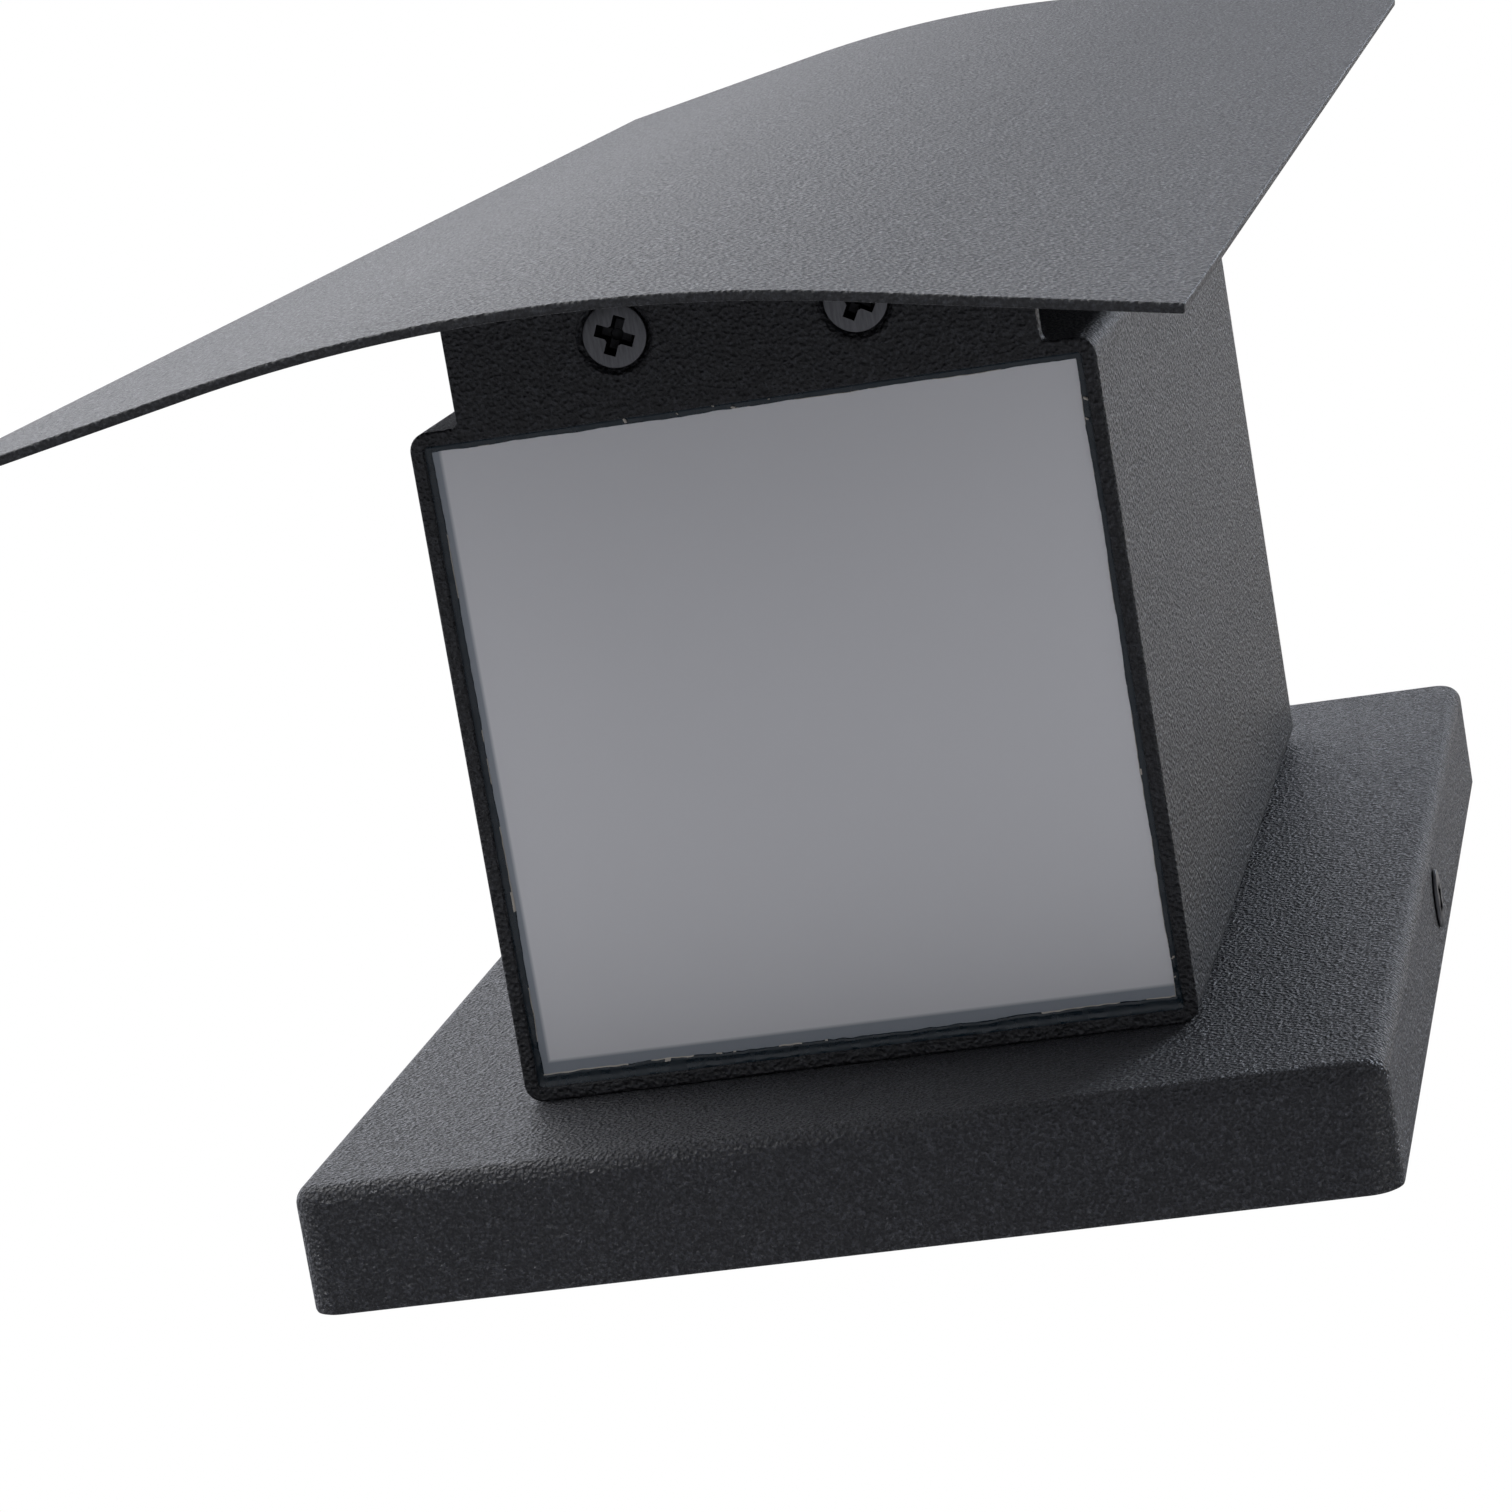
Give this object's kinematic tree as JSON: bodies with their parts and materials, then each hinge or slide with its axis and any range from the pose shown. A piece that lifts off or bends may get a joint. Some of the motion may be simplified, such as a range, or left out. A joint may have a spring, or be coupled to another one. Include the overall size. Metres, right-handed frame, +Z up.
{
  "type": "outdoor wall light",
  "caption": "Up and down outdoor wall light: square housing with opal diffusers in its ends on a flat wall cover, behind a long curved shade plate.",
  "frame": {"origin": "on the wall, at the centre of the cover's open back and of the wall bracket's slots", "axes": "+Z up the wall, -Y straight out of the wall into the room, +X to the right when the light is seen from the front"},
  "size_m": [0.1262, 0.1182, 0.385],
  "materials": {
    "cover_coat": "fine-textured powder coat",
    "housing_coat": "fine-textured powder coat",
    "shade_coat": "fine-textured powder coat",
    "opal_sheet": "opal polycarbonate, satin",
    "black_silicone": "tooled by hand, glossy",
    "black_screw_steel": "black oxide",
    "zinc_steel": "zinc plated",
    "galvanised_sheet": "galvanised",
    "black_rubber": "moulded",
    "grey_foam": "closed-cell foam",
    "white_nylon": "moulded polyamide",
    "clamp_brass": "nickel-free, drawn",
    "plate_aluminium": "rolled",
    "board_white": "solder mask",
    "chip_phosphor": "phosphor gel",
    "mixer_white": "moulded polycarbonate",
    "driver_case": "moulded, potted",
    "brown_sleeve": "extruded",
    "blue_sleeve": "extruded",
    "green_yellow_sleeve": "extruded, two colours",
    "white_sleeve": "extruded"
  },
  "bodies": {
    "root": {"bracket_nuts": "zinc_steel", "cover_screws": "black_screw_steel", "diffuser_lower": "opal_sheet", "diffuser_seal_lower": "black_silicone", "diffuser_seal_upper": "black_silicone", "diffuser_upper": "opal_sheet", "driver_screws": "zinc_steel", "earth_ring": "zinc_steel", "earth_screw": "zinc_steel", "housing": "housing_coat", "housing_gasket": "black_rubber", "housing_screws": "zinc_steel", "lead_earth": "green_yellow_sleeve", "lead_grommet": "black_rubber", "lead_live": "brown_sleeve", "lead_neutral": "blue_sleeve", "led_board_lower": "board_white", "led_board_screws_lower": "zinc_steel", "led_board_screws_upper": "zinc_steel", "led_board_upper": "board_white", "led_chips_lower": "chip_phosphor", "led_chips_upper": "chip_phosphor", "led_connector_lower": "white_nylon", "led_connector_upper": "white_nylon", "led_driver": "driver_case", "led_lead_lower": "white_sleeve", "led_lead_upper": "white_sleeve", "led_plate_lower": "plate_aluminium", "led_plate_screws_lower": "zinc_steel", "led_plate_screws_upper": "zinc_steel", "led_plate_upper": "plate_aluminium", "mixing_frame_lower": "mixer_white", "mixing_frame_upper": "mixer_white", "mounting_cover": "cover_coat", "rim_seal": "grey_foam", "shade": "shade_coat", "shade_bracket_lower": "shade_coat", "shade_bracket_upper": "shade_coat", "shade_nuts_lower": "zinc_steel", "shade_nuts_upper": "zinc_steel", "shade_screws_lower": "black_screw_steel", "shade_screws_upper": "black_screw_steel", "supply_grommet": "black_rubber", "terminal_block": "white_nylon", "terminal_clamps": "clamp_brass", "terminal_screws": "zinc_steel", "wall_bracket": "galvanised_sheet"}
  },
  "joints": []
}
